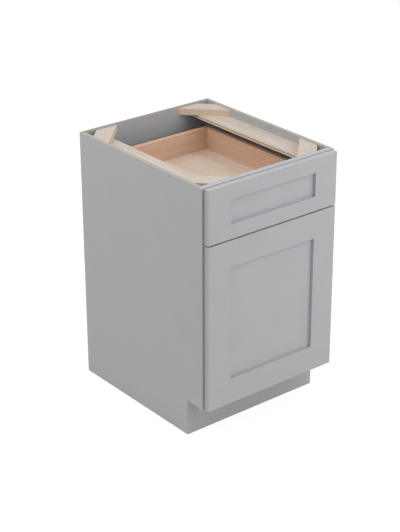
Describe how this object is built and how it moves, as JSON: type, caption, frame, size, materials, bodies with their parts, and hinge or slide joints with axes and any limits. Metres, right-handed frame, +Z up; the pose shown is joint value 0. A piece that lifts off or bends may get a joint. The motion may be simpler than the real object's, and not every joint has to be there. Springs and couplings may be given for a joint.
{
  "type": "drawer base cabinet",
  "caption": "Framed-front base cabinet: a dovetailed drawer on undermount runners over a hinged door, with toe space, corner blocks and an adjustable shelf.",
  "frame": {"origin": "middle of the footprint box, on the floor", "axes": "+X to the right as seen from the front, +Y to the back, +Z up"},
  "size_m": [0.5334, 0.6506, 0.8763],
  "materials": {
    "painted_wood": "satin grey paint on wood",
    "grey_plywood": "grey-finished plywood",
    "raw_plywood": "bare birch plywood",
    "drawer_birch": "clear-lacquered birch",
    "plated_steel": "zinc-plated steel",
    "nylon": "moulded grey nylon",
    "clear_bumper": "soft translucent bumper"
  },
  "bodies": {
    "carcass": {"adjustable_shelf": "grey_plywood", "back_panel": "grey_plywood", "bottom_panel": "grey_plywood", "corner_block_back_left": "raw_plywood", "corner_block_back_right": "raw_plywood", "corner_block_front_left": "raw_plywood", "corner_block_front_right": "raw_plywood", "drawer_kicker_left": "raw_plywood", "drawer_kicker_right": "raw_plywood", "frame_bottom_rail": "painted_wood", "frame_left_stile": "painted_wood", "frame_mid_rail": "painted_wood", "frame_right_stile": "painted_wood", "frame_top_rail": "painted_wood", "hinge_arm_screws": "plated_steel", "hinge_lower_arm": "plated_steel", "hinge_upper_arm": "plated_steel", "left_side_panel": "painted_wood", "right_side_panel": "painted_wood", "runner_left_cabinet_rail": "plated_steel", "runner_left_rear_bracket": "nylon", "runner_right_cabinet_rail": "plated_steel", "runner_right_rear_bracket": "nylon", "runner_screws": "plated_steel", "shelf_pins": "plated_steel", "toe_kick_board": "painted_wood"},
    "runner_middle": {"runner_glide_pads": "nylon", "runner_left_middle_rail": "plated_steel", "runner_right_middle_rail": "plated_steel"},
    "drawer": {"drawer_box_back": "drawer_birch", "drawer_box_bottom": "drawer_birch", "drawer_box_front": "drawer_birch", "drawer_box_left_side": "drawer_birch", "drawer_box_right_side": "drawer_birch", "drawer_front_bottom_rail": "painted_wood", "drawer_front_bumpers": "clear_bumper", "drawer_front_left_stile": "painted_wood", "drawer_front_panel": "painted_wood", "drawer_front_right_stile": "painted_wood", "drawer_front_screws": "plated_steel", "drawer_front_top_rail": "painted_wood", "runner_left_drawer_clip": "nylon", "runner_left_drawer_rail": "plated_steel", "runner_right_drawer_clip": "nylon", "runner_right_drawer_rail": "plated_steel"},
    "door": {"door_bottom_rail": "painted_wood", "door_bumpers": "clear_bumper", "door_left_stile": "painted_wood", "door_panel": "painted_wood", "door_right_stile": "painted_wood", "door_top_rail": "painted_wood", "hinge_cup_screws": "plated_steel", "hinge_lower_cup": "plated_steel", "hinge_pins": "plated_steel", "hinge_upper_cup": "plated_steel"}
  },
  "joints": [
    {"name": "drawer_slide", "type": "slide", "parent": "carcass", "child": "drawer", "axis": [0, -1, 0], "range_m": [0, 0.5]},
    {"name": "runner_middle_slide", "type": "slide", "parent": "carcass", "child": "runner_middle", "axis": [0, -1, 0], "range_m": [0, 0.25]},
    {"name": "door_swing", "type": "hinge", "parent": "carcass", "child": "door", "pos_m": [0.25335, -0.3153, 0.407], "axis": [0, 0, 1], "range_deg": [0, 105]}
  ],
  "couplings": [
    {"joint": "runner_middle_slide", "follows": "drawer_slide", "ratio": 0.5}
  ]
}
